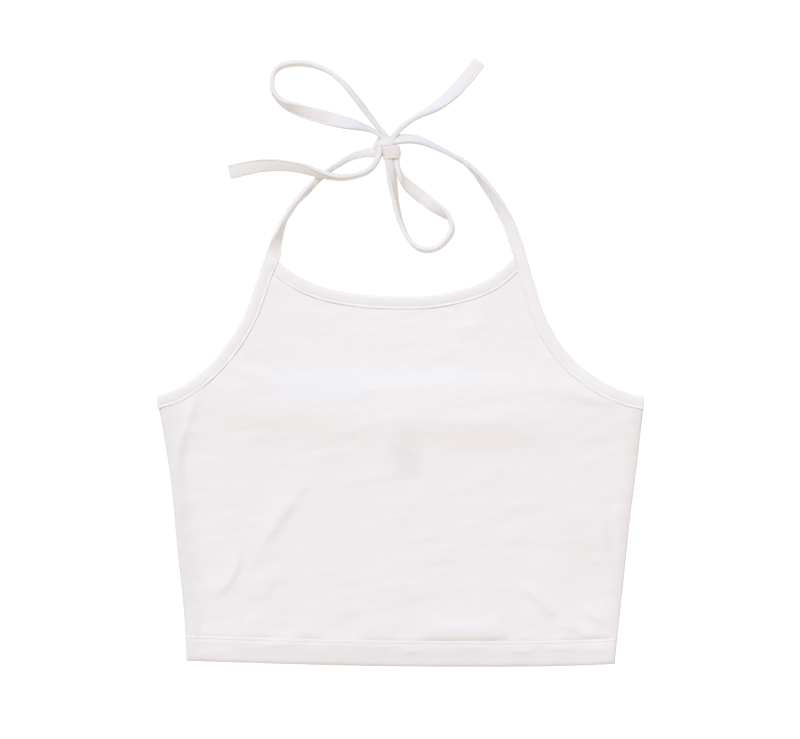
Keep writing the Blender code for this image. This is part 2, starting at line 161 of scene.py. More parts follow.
# How far in from its edge a panel starts to roll, and then the edge's own height, its drop or its rise.
SEAM_ROLL = 6.5
SEAM_HEIGHT = 0.7
HEM_ROLL = 4.2
HEM_DROP = 2.0
BACK_ROLL = 2.0
BACK_RISE = 0.75

# Ridges are soft lines from one end to the other that bow to their left, in the same columns in every
# table. The first is the front's large ones, which its solid has too. The next is its smaller creases,
# whose heights are all times CREASE_GAIN. A trough has a height below zero.
CREASE_GAIN = 1.15
FRONT_FOLDS = (
    # x0, y0, x1, y1, bow, half width, height
    (-163, -26, -177, -134, -8, 7, 1.6),
    (-128, -144, -151, -184, 7, 7, 1.5),
    (-66, -86, -118, -160, -6, 8, 1.5),
    (-92, -162, -118, -186, -2, 7, 0.9),
    (-104, -196, -128, -218, 2, 6, 0.8),
    (96, -175, 124, -199, 2, 6, 1.3),
    (120, -200, 154, -212, -1.5, 6, 1.2),
    (138, -191, 168, -202, -1, 6, 1.1),
    (8, -210, 86, -211, 2, 6, 1.5),
    (-140, 1, -100, -13, -1, 6, 1.2),
    (-126, 9, -102, 12, 1, 5, 0.7),
    (38, 24, 66, 35, -2, 6, 0.9),
    (126, -20, 172, -32, -1, 6, 1),
    (-26, -177, 24, -176, 1, 7, 0.6),
)
FRONT_CREASES = (
    (-149, -8, -177, -92, -4.5, 3.4, 0.85),
    (-179, -54, -174, -140, 5, 3.2, 0.7),
    (-171, -130, -174, -154, 0, 2.5, 0.5),
    (-165, -168, -170, -188, 0, 2.4, 0.45),
    (-164, -186, -163, -214, 0, 2.2, 0.35),
    (-126, -142, -151, -187, 7.5, 3.4, 0.6),
    (-121.5, -142, -147, -188, 7.5, 2.8, -0.45),
    (-58, -86, -113, -164, -3.5, 4, -0.3),
    (-62, -82, -119, -164, -3.5, 4, 0.55),
    (-88, -166, -112, -185, -1, 3.2, 0.3),
    (-108, -193, -129, -214, 1.5, 3, 0.4),
    (130, -24, 178, -33, -1, 3, 0.5),
    (136, -39, 170, -43, -0.5, 3.2, 0.35),
    (158, -114, 168, -166, 4, 3.4, -0.95),
    (149, -112, 160, -150, 3, 3.6, 0.45),
    (167, -110, 173, -124, 0, 3, 0.45),
    (146, -150, 160, -158, 0, 3, 0.45),
    (93, -174, 122, -200, 2, 3.4, 0.75),
    (121, -203, 155, -214, -1, 3, 0.55),
    (140, -194, 169, -205, -1, 3, 0.5),
    (119.5, -34, 119.5, -204, 0, 0.9, 0.36),
    (40, 43, 86, 54, -1.5, 3.4, 0.45),
    (-110, 33, -50, 44, 2, 4.5, 0.25),
    (36, 17, 68, 29, -1.5, 3, 0.3),
    (-142, 4, -104, -14, -1.5, 3.4, 0.7),
    (-20, -176, 20, -175, 1, 3, 0.2),
    (-40, -122, 24, -112, 3, 4, 0.2),
    (20, -146, 78, -134, -3, 3.5, 0.18),
    (-70, -198, -16, -193, 2, 3.5, 0.22),
    (44, -92, 104, -82, 2, 4, 0.16),
    (-60, 8, -8, 16, -2, 4, 0.16),
    (8, -6, 70, 4, 2, 4.5, 0.14),
)
# The crest where the front comes over the back's binding, in two soft swells.
FRONT_SWELLS = (
    (-150, -34, 20, -38, 0, 13, 0.6),
    (-20, -42, 140, -46, 0, 14, 0.7),
)
FINE_WRINKLES = (
    # cell along, cell across, turn in degrees, height, seed
    (34, 8.2, 13, 0.28, 11),
    (17, 4.8, 9, 0.19, 12),
    (13, 9.5, 64, 0.2, 13),
    (6, 2.6, 14, 0.1, 14),
)
# Above the hem's stitches the cloth bulges between where it is drawn in.
HEM_BULGES = (
    # x0, x1, height
    (-167, -156, 1),
    (-142, -88, 0.5),
    (-85, -59, 1.3),
    (-58, -40, 0.5),
    (-37, -2, 1.4),
    (12, 60, 1.4),
    (48, 86, 1.6),
    (86, 114, 0.9),
    (122, 136, 0.7),
    (138, 167, 1.1),
)
# A bulge is highest at the first distance above the stitches, and gone at the second.
BULGE_RISE = 4.4
BULGE_REACH = 34.0
HEM_RIPPLES = (
    (-114, -224, -74, -217, 0, 2.4, 0.75),
    (-62, -220, -43, -220.5, 0, 2.2, 0.65),
    (-40, -221, -26, -221.5, 0, 2.2, 0.65),
    (-24, -223, -8, -223.5, 0, 2.2, 0.65),
    (0, -226, 21, -226.5, 0, 2.2, 1),
    (44, -224, 64, -224.5, 0, 2.4, 0.55),
    (81, -226, 107, -226.5, 0, 2.2, 1),
    (113, -224, 139, -224.5, 0, 2.2, 0.9),
    (143, -224, 167, -225, 0, 2.4, 0.7),
    (-158, -230, -132, -225, 0, 3, 0.7),
)
HEM_WAVES = (
    (17, 10, 24, 0.5, 21),
    (7, 7, 12, 0.2, 22),
)
BACK_CREASES = (
    (-120, -60, -60, -88, 4, 4, 0.35),
    (-20, -70, 60, -96, -5, 4, 0.3),
    (84, -58, 150, -72, 3, 3.5, 0.35),
    (-150, -100, -112, -170, 6, 5, 0.4),
    (-70, -120, 10, -150, 5, 4.5, 0.3),
    (40, -130, 92, -190, -4, 4, 0.35),
    (128, -110, 150, -190, 4, 4, 0.4),
    (-30, -190, 30, -198, 2, 4, 0.3),
)

# Faint painted light and shade, added to the cloth's colour inside soft ellipses. On the front: painted
# shade where the label shows through the thin cloth; painted shade on the slope below the crest over the
# back's binding and painted cool light on the slope above it, partly the double and single layers showing
# through; a painted highlight over the upper chest; and painted shade along the rolled sides, in a fold at
# the right, above the hem's stitches where the cloth bulges, and over the hem band. On the ties: a greyer
# tone than on the bindings, painted cool light on their right and in the upper loop, and painted warm shade
# at the knot, below it and on the left tail.
FRONT_SHOW_THROUGH_AND_PAINTED_LIGHT = (
    # x, y, half width, half height, red, green, blue
    # Painted shade where the label shows through the thin front.
    (4, -70, 19, 27, -0.052, -0.046, -0.048),
    (6, -80, 14, 14, -0.022, -0.016, -0.016),
    # Painted shade on the slope that falls below the crest over the back's binding, partly the double layer
    # showing through.
    (-88, -47, 70, 15, -0.012, -0.012, -0.026),
    (-40, -60, 62, 14, -0.010, -0.013, -0.020),
    (62, -61, 68, 17, -0.016, -0.030, -0.042),
    # Painted shade in the fold at the right.
    (146, -150, 30, 36, -0.010, -0.018, -0.026),
    # More painted shade on the slope below the crest.
    (30, -52, 44, 13, -0.006, -0.010, -0.016),
    # Painted cool light on the slope up to the crest, partly the single layer over the table showing
    # through.
    (-66, -20, 84, 15, -0.006, 0.005, 0.026),
    (22, -12, 64, 12, -0.006, 0.003, 0.018),
    # A painted highlight over the upper chest.
    (0, 20, 170, 110, 0.026, 0.025, 0.024),
    # Painted shade along the sides, where they roll down to the table.
    (-192, -70, 26, 90, -0.060, -0.056, -0.046),
    (-176, -175, 26, 95, -0.054, -0.056, -0.056),
    (192, -80, 17, 95, -0.046, -0.060, -0.072),
    (180, -172, 17, 95, -0.050, -0.064, -0.075),
    # Painted shade of the bulges above the hem's upper stitches.
    (32, -214, 32, 5, -0.014, -0.018, -0.022),
    (70, -214, 22, 5, -0.018, -0.022, -0.027),
    (-20, -214, 24, 4.5, -0.010, -0.014, -0.018),
    # Painted shade over the hem band, partly its double layer.
    (0, -231, 260, 17, -0.049, -0.049, -0.050),
)
TAPE_TONE_AND_PAINTED_LIGHT = (
    # A greyer tone over the whole bow than on the bindings.
    (0, 170, 220, 90, -0.042, -0.042, -0.040),
    # Painted cool light on the right tie and in the upper loop.
    (62, 182, 74, 44, -0.030, -0.024, 0.008),
    (-60, 178, 44, 22, -0.020, -0.016, 0.006),
    # Painted warm shade below the knot.
    (2, 132, 26, 34, -0.004, -0.022, -0.040),
    # Painted cool shade in the upper loop.
    (-31, 198, 20, 34, -0.050, -0.044, -0.026),
    # Painted warm shade on the left tail and at the knot's lower edge.
    (-98, 150, 62, 24, -0.024, -0.030, -0.044),
    (-7, 162, 12, 9, -0.016, -0.024, -0.052),
    # Painted cool light to the right of the knot.
    (26, 168, 30, 20, -0.022, -0.020, 0.004),
)

# The ties, close to the routes of their solids, as rows of x, y, tilt, lift and width. Tilt is the strip's
# lean: 0 lies flat and 90 stands on its edge. Lift is the height of its lowest edge, and width differs from
# TIE_WIDTH where the strip is bunched or spread. A row that leaves them out has the usual ones.
USUAL_LIFT_AND_WIDTH = (0.0, TIE_WIDTH)
STRAP_LEFT = (
    (-101, 80.3, 0, 0, 12),
    (-99.8, 84.5, 2, 0, 11.8),
    (-98.1, 90.8, 18, 0, 10.6),
    (-95.8, 99.2, 54),
    (-92.4, 108.8, 75),
    (-87.1, 118, 80),
    (-80.3, 127, 80, 0, 9.6),
    (-74.2, 134, 66, 0, 7.2),
    (-68.2, 140.2, 40, 0, 5.2),
    (-61.8, 145.6, 24, 0, 4.4),
    (-55, 151.4, 24, 0, 4.4),
    (-47.6, 155.9, 20, 0, 4.6),
    (-40.2, 160.2, 14, 0.6, 5.6),
    (-33.4, 162.7, 6, 1.2, 6.4),
    (-26.5, 164.2, -4, 1.8, 7),
    (-20.4, 164.6, -8, 2.2, 7.8),
    (-14.4, 164.9, -8, 2.4, 7),
)
STRAP_RIGHT = (
    (94, 82.3, 0),
    (93, 86.4, 0),
    (89.8, 95.8, -6),
    (85.5, 107.1, -17),
    (79.9, 118.2, -28, 0, 9.9),
    (73.3, 129.2, -45, 0, 9.8),
    (66.6, 138.7, -62, 0, 9.9),
    (59.3, 148.1, -77),
    (51.6, 155.5, -88),
    (42.2, 161.3, -93),
    (31.8, 166.7, -101),
    (22.4, 171.1, -112, 0, 9.8),
    (13.4, 174.1, -132, 1, 8.8),
    (5.8, 174.9, -150, 2.8, 8),
    (-3, 174.2, -164, 4.6, 7.8),
)
LOOP_UPPER = (
    (-7.2, 172, 88, 0.6, 8),
    (-10.9, 177.2, 86, 0, 9),
    (-17.6, 184.4, 82, 0, 9.8),
    (-27.1, 196.7, 75),
    (-37.1, 209.8, 76),
    (-47.4, 221.1, 81),
    (-59.3, 229.3, 86),
    (-74.2, 233.8, 93),
    (-88.9, 233.2, 94),
    (-98.1, 228.2, 91),
    (-100.6, 219.5, 83),
    (-98.7, 210.6, 81),
    (-90.6, 202.3, 70),
    (-76.6, 196.8, 24),
    (-59, 192.1, 2, 0, 11),
    (-43.6, 188, -22, 0, 10.8),
    (-29.5, 184.1, -64),
    (-20.4, 180.6, -82, 0, 9.4),
    (-14.4, 176.2, -86, 0, 8.6),
    (-10.8, 171.2, -86, 0.6, 8),
)
LOOP_LOWER = (
    (-8.6, 158.6, -12, 4.3, 8),
    (-7.3, 151, -24, 3, 8.4),
    (-6.5, 143, -44, 1.8, 9.2),
    (-5, 132.2, -66),
    (-2.7, 119.8, -76),
    (1.1, 107.1, -82),
    (6.7, 95.9, -85),
    (13.5, 89.9, -94),
    (21.2, 88.1, -98),
    (29.2, 90.1, -98),
    (36.1, 96.2, -100),
    (40.3, 104.1, -98),
    (38.8, 111.5, -90),
    (34.1, 116.7, -62),
    (25.4, 122.9, -24),
    (14.6, 131.5, 8),
    (5.7, 139, 34),
    (0.3, 146.4, 72, 0, 9.4),
    (-2.4, 152.6, 82, 0, 7.8),
    (-3.1, 158.9, 84, 0.3, 7),
)
TAIL_UPPER = (
    (-6.4, 171, -84, 0.8, 8),
    (-5.6, 176.4, -80, 0.4, 8.8),
    (-1.4, 181.6, -80, 0, 9.4),
    (4.1, 186.7, -78),
    (10.2, 190.9, -75),
    (16.8, 194.5, -69),
    (23.4, 197.9, -56),
    (30, 201.9, -38, 0, 10),
    (36.5, 206.9, -25, 0, 10),
    (43, 213, -15, 0, 10.6),
    (49.6, 220.4, -8, 0, 10.7),
    (56, 228, -5, 0, 10.6),
    (61.8, 236.2, -3, 0, 10.8),
)
TAIL_LEFT = (
    (-16, 167.4, -80, 4.6, 5.6),
    (-16.2, 164, -82, 4.6, 5.6),
    (-17.6, 160, -84, 4.4, 6),
    (-19.6, 156, -86, 3.4, 7),
    (-23, 151.8, -86, 1.4, 8.4),
    (-29, 148.1, -84, 0.3, 9.6),
    (-36.4, 145.9, -82, 0.2, 9.8),
    (-43.6, 144.8, -79, 1.2, 8.8),
    (-50.6, 144.7, -74, 3.6, 7.6),
    (-57.7, 145.9, -62, 4.9, 7),
    (-66.2, 148.3, -48, 4.9, 7.2),
    (-75.4, 151.4, -38, 3.2, 8.6),
    (-85, 153.5, -28, 1.2, 8.7),
    (-95.5, 154.6, -22, 0.2, 9.5),
    (-105.2, 154.6, -16),
    (-115, 153.5, -10, 0, 10.6),
    (-124.7, 151.5, -6, 0, 11.1),
    (-134.3, 149.2, -4, 0, 11.2),
)

# The knot's wrap from its lower edge to its upper edge, seen from above.
KNOT_WRAP = (
    # y left, y right, x left, x right, height
    (158.6, 159, -12.8, -1.4, 8.2),
    (158.9, 159.4, -13.2, -0.8, 9),
    (159.9, 160.3, -13.5, -0.4, 9.5),
    (160.6, 160.9, -13.6, -0.2, 9.2),
    (161.3, 161.6, -13.9, 0, 9.6),
    (163.2, 164.2, -14.5, 0.4, 9.9),
    (165.2, 166.8, -15.3, -0.2, 10.2),
    (166.6, 168.8, -16.2, -0.8, 10.4),
    (167.2, 169.6, -16.5, -1.3, 10.1),
    (167.6, 170.2, -16.2, -1.8, 9.2),
)
KNOT_STITCH_SECTION = 3
KNOT_STEPS = 3
PATCH_STEPS = 4
KNOT_SIDES = 56
KNOT_ROUNDNESS = 0.62
KNOT_PATCH = (
    # x, y, half depth, middle height, half height
    (-18.8, 169.3, 1, 6.6, 1.4),
    (-17.4, 169.6, 2.4, 7, 2.4),
    (-14.8, 170.3, 3.5, 7.2, 3),
    (-11.4, 170.9, 3.7, 7.4, 3),
    (-8.8, 170.8, 3.2, 7.6, 2.7),
    (-6.6, 170.4, 2.2, 7.8, 2.1),
    (-5.2, 170.3, 0.6, 8, 1),
)
# As a tie
KNOT_CURL = (
    (-17.4, 163.6, -66, 0.4, 6.4),
    (-18.8, 167, -64, 0.6, 6.4),
    (-18.4, 170, -62, 1, 6.4),
    (-16.4, 172.6, -60, 1.6, 6.4),
    (-13.8, 174, -60, 2, 6.4),
    (-11.4, 174.2, -62, 2.2, 6.4),
    (-9.2, 172.6, -64, 2.2, 6.8),
)

# Upper face of a strip from its fold to its stitched edge: as a binding, in from its fold and above its
# base, and as a tie, whose lower face mirrors it, in parts of its half width and half thickness.
STRIP_SECTION = (
    # binding across, binding height, tie across, tie height
    (0.05, 0.30, -1.000, 0.10),
    (0.00, 0.90, -0.985, 0.50),
    (0.25, 1.50, -0.930, 0.84),
    (0.80, 1.90, -0.820, 0.97),
    (2.20, 2.18, -0.450, 1.00),
    (4.20, 2.15, 0.100, 0.98),
    (6.60, 1.84, 0.420, 0.94),
    (7.80, 1.50, 0.580, 0.84),
    (8.45, 1.10, 0.690, 0.50),
    (8.80, 1.44, 0.760, 0.80),
    (9.25, 1.86, 0.830, 0.94),
    (10.00, 1.92, 0.910, 0.88),
    (10.40, 1.50, 0.970, 0.60),
    (10.50, 0.60, 1.000, 0.15),
)
STITCHED_ROW = 8
STRIP_UNDERSIDE = 0.05
TIE_CLEARANCE = 0.03
RING_STEP = 1.05
MORPH_LENGTH = 12.0
LEVEL_LENGTH = 8.0
LOW_END = 0.62
LOW_END_LENGTH = 8.0

# How uneven the narrow pieces are: how much, and the cell of the noise along and across. A tie's lean
# sways by degrees, its thickness puckers by a part, and the rest are heights.
BINDING_PUCKERS = (0.15, 4.2, 0.35)
BINDING_WAVES = (0.11, 15, 1)
PUCKER_SLANT = 3.0
TIE_SWAY = (2.5, 16, 1)
TIE_PUCKERS = (0.1, 5, 0.7)
LABEL_WAVES = (0.1, 9, 12)

# Stitches
STITCH_LENGTH = 0.9
STITCH_STEP = 1.7
STITCH_SLANT = 32.0
THREAD_RADIUS = 0.33
STITCH_LIFT = 0.06
TWIN_ROWS = (17.4, 19.9)
# How deep and how wide the rows of stitches draw the cloth in, and where they stand on the hems.
FRONT_GROOVE = (0.5, 0.75)
BACK_GROOVE = (0.25, 0.7)
HEM_LINE_MARGIN = 0.8
BACK_STITCH_HEIGHT = 0.28
# The short dense stitches that hold the end of the hem's two rows: x0, y0, x1, y1.
HEM_BARTACK = (-161.5, -213.4, -160.6, -218.4)
BARTACK_WIDTH = 1.3
BARTACK_STEP = 0.6

# The knit's repeat across and along, and its relief, in metres, as shaders take them.
KNIT_WALE = 0.00062
KNIT_COURSE = 0.0005
KNIT_RELIEF = 0.00012
# Two noises of the cloth: its fuzz and its mottle.
NOISES = {
    # scale, detail, roughness
    "fuzz": (900.0, 3.0, 0.6),
    "mottle": (260.0, 2.0, 0.55),
}
MOTTLE = 0.012

FLOOR_HALF = 12.0
SUNS = (
    # name, energy, colour, angle in degrees, direction towards it
    ("window", 2.08, (0.81, 0.86, 1), 30, (-0.25, 0.53, 0.81)),
    ("lamp", 0.62, (1, 0.66, 0.3), 60, (0.28, -0.58, 0.766)),
)


def ease(value, start, stop):
    """0 at start and 1 at stop, with no corner at either."""
    part = np.clip((value - start) / (stop - start), 0, 1)
    return part * part * (3 - 2 * part)


def blend(a, b, part):
    return a + (b - a) * part


def through(rows, steps=8):
    """Rows of numbers joined by a smooth curve, with this many steps between two rows."""
    points = np.array(rows, float)
    before = np.vstack([2 * points[0] - points[1], points[:-1]])
    after = np.vstack([points[1:], 2 * points[-1] - points[-2]])
    slopes = (after - before) / 2
    t = (np.arange(steps) / steps)[None, :, None]
    a, b = points[:-1, None], points[1:, None]
    slope_a, slope_b = slopes[:-1, None], slopes[1:, None]
    curve = (
        (2 * t**3 - 3 * t**2 + 1) * a
        + (t**3 - 2 * t**2 + t) * slope_a
        + (3 * t**2 - 2 * t**3) * b
        + (t**3 - t**2) * slope_b
    )
    return np.vstack([curve.reshape(-1, points.shape[1]), points[-1:]])


def lengths_along(path):
    """Distance of each row of the path from its start, in plan."""
    steps = np.linalg.norm(np.diff(path[:, :2], axis=0), axis=1)
    return np.concatenate([[0.0], np.cumsum(steps)])


def spaced(path, count):
    """count + 1 rows of the path, evenly spaced in plan."""
    lengths = lengths_along(path)
    wanted = np.linspace(0.0, lengths[-1], count + 1)
    return np.column_stack([np.interp(wanted, lengths, column) for column in path.T])


def headings(path):
    """Unit direction of the path at each of its rows, in plan."""
    ahead = np.vstack([path[1:, :2], path[-1:, :2]])
    behind = np.vstack([path[:1, :2], path[:-1, :2]])
    along = ahead - behind
    return along / np.linalg.norm(along, axis=1, keepdims=True)


def beside(path, distance):
    """The path moved to its left by this distance, or to its right if that is negative."""
    along = headings(path)
    return path[:, :2] + distance * np.column_stack([-along[:, 1], along[:, 0]])


def height_at(path, x):
    return np.interp(x, path[:, 0], path[:, 1])


BACK_TOP = through(BACK_EDGE)
HEM_CURVE = through(HEM_EDGE)
SEAM_CURVE = through(SIDE_SEAM)
LABEL_TOP = BACK_EDGE[2][1] - BINDING_WIDTH - SEAM_GAP


def half_width(x, y):
    """How far the side seam lies from the middle, on this place's side."""
    left = np.interp(y, SEAM_CURVE[:, 0], SEAM_CURVE[:, 1])
    right = np.interp(y, SEAM_CURVE[:, 0], SEAM_CURVE[:, 2])
    return np.where(x < 0, left, right)


def fold_height(folds, x, y):
    """Height that the folds add at these places."""
    total = np.zeros(np.shape(x))
    for x0, y0, x1, y1, bow, half, height in folds:
        length = math.hypot(x1 - x0, y1 - y0)
        along = ((x - x0) * (x1 - x0) + (y - y0) * (y1 - y0)) / length**2
        off = ((x1 - x0) * (y - y0) - (y1 - y0) * (x - x0)) / length
        off = off - 4 * bow * along * (1 - along)
        inside = np.sin(math.pi * np.clip(along, 0, 1))
        total += height * inside * np.exp(-((off / half) ** 2))
    return total


def soft_noise(x, y, cell_x, cell_y, seed):
    """Smooth random heights between -1 and 1, on cells of this size."""
    side = 64
    values = np.random.default_rng(seed).uniform(-1, 1, (side, side))
    u, v = x / cell_x + side / 2, y / cell_y + side / 2
    column, row = np.floor(u).astype(int), np.floor(v).astype(int)
    a, b = u - column, v - row
    a, b = a * a * (3 - 2 * a), b * b * (3 - 2 * b)
    left, right, low, high = column % side, (column + 1) % side, row % side, (row + 1) % side
    bottom = values[low, left] * (1 - a) + values[low, right] * a
    top = values[high, left] * (1 - a) + values[high, right] * a
    return bottom * (1 - b) + top * b


def uneven(x, y, values, seed):
    """Soft noise with its amount and its two cells in values."""
    amount, *cells = values
    return amount * soft_noise(x, y, *cells, seed)


def wrinkles(table, x, y):
    """Sum of fine random wrinkles, one layer for each row of the table."""
    total = np.zeros(np.shape(x))
    for along, across, turn, height, seed in table:
        angle = math.radians(turn)
        u = x * math.cos(angle) + y * math.sin(angle)
        v = y * math.cos(angle) - x * math.sin(angle)
        total += height * soft_noise(u, v, along, across, seed)
    return total


def under_front(x, y):
    """Height of the front's underside, as in its solid but without the slight rise over the label."""
    on_binding = BINDING_THICKNESS + SEAM_GAP
    on_back = WALL + SEAM_GAP
    top = height_at(BACK_TOP, x)
    above = on_binding * (1 - ease(y, top + DRAPE_MARGIN, top + DRAPE_LENGTH))
    below = top - BINDING_WIDTH - y
    rest = blend(on_binding, on_back, ease(below, DRAPE_MARGIN, SETTLE_LENGTH))
    hem = height_at(HEM_CURVE, x) + HEM_DEPTH
    rest = rest + (HEM_WALL - WALL) * ease(hem - y, -HEM_EASE, 0)
    inside = np.minimum(np.minimum(half_width(x, y) - np.abs(x), y - hem), top - y)
    rest = rest + LOFT * ease(inside, LOFT_MARGIN, LOFT_EDGE)
    return np.where(y > top, above, rest) + fold_height(FRONT_FOLDS, x, y)


def make_piece(name, points, faces, material):
    """A smooth-shaded mesh object from points in millimetres."""
    mesh = bpy.data.meshes.new(name)
    mesh.from_pydata((np.asarray(points) * METRES).tolist(), [], faces)
    mesh.shade_smooth()
    mesh.materials.append(material)
    mesh.update()
    obj = bpy.data.objects.new(name, mesh)
    bpy.context.scene.collection.objects.link(obj)
    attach(obj, "root")
    return obj


def grid_quads(rows, columns, first=0):
    """Corner numbers of a grid's faces, for points numbered row by row from first."""
    start = first + np.arange(rows - 1)[:, None] * columns + np.arange(columns - 1)[None, :]
    start = start.ravel()
    return np.column_stack([start, start + 1, start + columns + 1, start + columns])


def make_shell(name, x, y, top, low, material):
    """A thin closed shell on a grid of places, between its upper and its lower heights."""
    rows, columns = x.shape
    count = rows * columns
    quads = [grid_quads(rows, columns), grid_quads(rows, columns, count)[:, ::-1]]
    numbers = np.arange(count).reshape(rows, columns)
    border = np.concatenate([numbers[0, :-1], numbers[:-1, -1], numbers[-1, :0:-1], numbers[:0:-1, 0]])
    following = np.roll(border, -1)
    quads.append(np.column_stack([following, border, border + count, following + count]))
    points = np.concatenate([np.dstack([x, y, z]).reshape(-1, 3) for z in (top, low)])
    return make_piece(name, points, np.concatenate(quads).tolist(), material)


def facing_out(rings):
    """The rings in the order round that makes a sweep's faces point out."""
    k = len(rings) // 2
    ring = rings[k] - rings[k].mean(axis=0)
    turn = np.cross(ring, np.roll(ring, -1, axis=0)).sum(axis=0)
    travel = rings[min(k + 1, len(rings) - 1)].mean(axis=0) - rings[k - 1].mean(axis=0)
    return rings if turn @ travel > 0 else rings[:, ::-1]


def sweep_mesh(rings, first=0):
    """Points and faces of a closed form through rings of equal length, with filled ends."""
    rings = facing_out(np.asarray(rings))
    count, sides = rings.shape[:2]
    step = np.arange(sides)
    following = (step + 1) % sides
    faces = []
    for k in range(count - 1):
        here, there = first + k * sides, first + (k + 1) * sides
        faces += np.column_stack([here + step, here + following, there + following, there + step]).tolist()
    faces.append((first + step[::-1]).tolist())
    faces.append((first + (count - 1) * sides + step).tolist())
    return rings.reshape(-1, 3), faces


def make_sweeps(name, forms, material):
    """One piece from several swept forms."""
    points, faces, first = [], [], 0
    for rings in forms:
        more_points, more_faces = sweep_mesh(rings, first)
        points.append(more_points)
        faces += more_faces
        first += len(more_points)
    return make_piece(name, np.concatenate(points), faces, material)


def make_cloth(name, rings, material, *nodes):
    """One swept piece of cloth in place of these nodes."""
    piece = make_sweeps(name + "_cloth", [rings], material)
    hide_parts(*nodes)
    return piece


def thread_rings(middle, up, radii, sides=6):
    """Rings of a thread of these radii along its middle line."""
    along = np.gradient(middle, axis=0)
    side = np.cross(up, along)
    side /= np.linalg.norm(side, axis=1, keepdims=True)
    angles = np.linspace(0.0, 2 * math.pi, sides, endpoint=False)
    return (
        middle[:, None]
        + side[:, None] * (np.cos(angles)[None, :] * radii[:, None])[..., None]
        + up[:, None] * (np.sin(angles)[None, :] * radii[:, None])[..., None]
    )


def stitch_forms(points, normals):
    """Slanted stitches along a line on a surface: short bars with round ends, half sunk into it."""
    lengths = np.concatenate([[0.0], np.cumsum(np.linalg.norm(np.diff(points, axis=0), axis=1))])
    shares = np.array([0.0, 0.12, 0.32, 0.68, 0.88, 1.0])
    radii = THREAD_RADIUS * np.array([0.35, 0.80, 1.0, 1.0, 0.80, 0.35])
    dips = THREAD_RADIUS * np.array([-0.9, -0.2, 0.2, 0.2, -0.2, -0.9])
    slant = math.tan(math.radians(STITCH_SLANT))
    forms = []
    for k in range(int(lengths[-1] // STITCH_STEP)):
        ahead = (shares - 0.5) * STITCH_LENGTH
        wanted = (k + 0.5) * STITCH_STEP + ahead
        middle = np.column_stack([np.interp(wanted, lengths, c) for c in points.T])
        up = np.column_stack([np.interp(wanted, lengths, c) for c in normals.T])
        up /= np.linalg.norm(up, axis=1, keepdims=True)
        side = np.cross(up[0], middle[-1] - middle[0])
        side /= np.linalg.norm(side)
        middle = middle + up * dips[:, None] + side * (ahead * slant)[:, None]
        forms.append(thread_rings(middle, up, radii))
    return forms


def bartack_forms(x0, y0, x1, y1):
    """Dense short threads side by side from one point on the front to another."""
    length = math.hypot(x1 - x0, y1 - y0)
    across = BARTACK_WIDTH * np.linspace(-0.5, 0.5, 5)
    lift = np.array([-0.1, 0.25, 0.32, 0.25, -0.1])
    forms = []
    for share in np.linspace(0, 1, int(length / BARTACK_STEP) + 1):
        x = x0 + (x1 - x0) * share - (y1 - y0) / length * across
        y = y0 + (y1 - y0) * share + (x1 - x0) / length * across
        middle = np.column_stack([x, y, front_top(x, y) + lift])
        forms.append(thread_rings(middle, upwards(middle), np.full(5, THREAD_RADIUS)))
    return forms


def set_inputs(node, values):
    for name, value in values.items():
        node.inputs[name].default_value = value


def new_material(name):
    material = bpy.data.materials.new(name)
    material.use_nodes = True
    return material, material.node_tree, material.node_tree.nodes["Principled BSDF"]


def add_node(tree, kind, **values):
    """A shader node, with its own settings by name and its sockets' values by number."""
    made = tree.nodes.new(kind)
    for name, value in values.items():
        if name.startswith("in"):
            made.inputs[int(name[2:])].default_value = value
        else:
            setattr(made, name, value)
    return made


def math_node(tree, operation, a, b=None):
    made = add_node(tree, "ShaderNodeMath", operation=operation)
    for socket, value in zip(made.inputs, (a, b)):
        if value is None:
            continue
        if isinstance(value, (int, float)):
            socket.default_value = value
        else:
            tree.links.new(value, socket)
    return made.outputs[0]


def knit_height(calc, x, y):
    """Columns of small V-shaped loops, from 0 to 1, as single jersey has on its face."""
    across = calc("MULTIPLY", x, 2 * math.pi / KNIT_WALE)
    wale = calc("MULTIPLY", calc("SINE", across), 0.3)
    slant = calc("SINE", calc("MULTIPLY", across, 0.5))
    slant = calc("MULTIPLY", calc("ABSOLUTE", slant), 2.4)
    rise = calc("MULTIPLY", y, 2 * math.pi / KNIT_COURSE)
    rise = calc("ADD", rise, slant)
    course = calc("MULTIPLY", calc("SINE", rise), 0.2)
    return calc("ADD", calc("ADD", wale, course), 0.5)


def spot_mask(calc, x, y, centre_x, centre_y, half_x, half_y):
    """1 in the middle of a soft ellipse, in millimetres, and 0 outside it."""
    squares = []
    for place, centre, half in ((x, centre_x, half_x), (y, centre_y, half_y)):
        away = calc("DIVIDE", calc("SUBTRACT", place, centre * METRES), half * METRES)
        squares.append(calc("POWER", away, 2.0))
    total = calc("MINIMUM", calc("ADD", *squares), 1.0)
    return calc("POWER", calc("SUBTRACT", 1.0, total), 1.5)


def noise_output(tree, place, kind):
    """One of the cloth's noises, over the object's own coordinates."""
    scale, detail, roughness = NOISES[kind]
    noise = add_node(tree, "ShaderNodeTexNoise", in2=scale, in3=detail, in4=roughness)
    tree.links.new(place, noise.inputs[0])
    return noise.outputs[0]


def scaled_colour(tree, colour, factor):
    """A colour times another node's result."""
    made = add_node(tree, "ShaderNodeVectorMath", operation="SCALE")
    made.inputs[0].default_value = colour
    tree.links.new(factor, made.inputs["Scale"])
    return made.outputs[0]


def add_painted_light(tree, colour, x, y, light_and_shade):
    """The colour with the painted light and shade of each row added inside its soft ellipse."""
    calc = functools.partial(math_node, tree)
    for centre_x, centre_y, half_x, half_y, *painted_change in light_and_shade:
        mask = spot_mask(calc, x, y, centre_x, centre_y, half_x, half_y)
        total = add_node(tree, "ShaderNodeVectorMath", operation="ADD")
        tree.links.new(colour, total.inputs[0])
        tree.links.new(scaled_colour(tree, painted_change, mask), total.inputs[1])
        colour = total.outputs[0]
    return colour


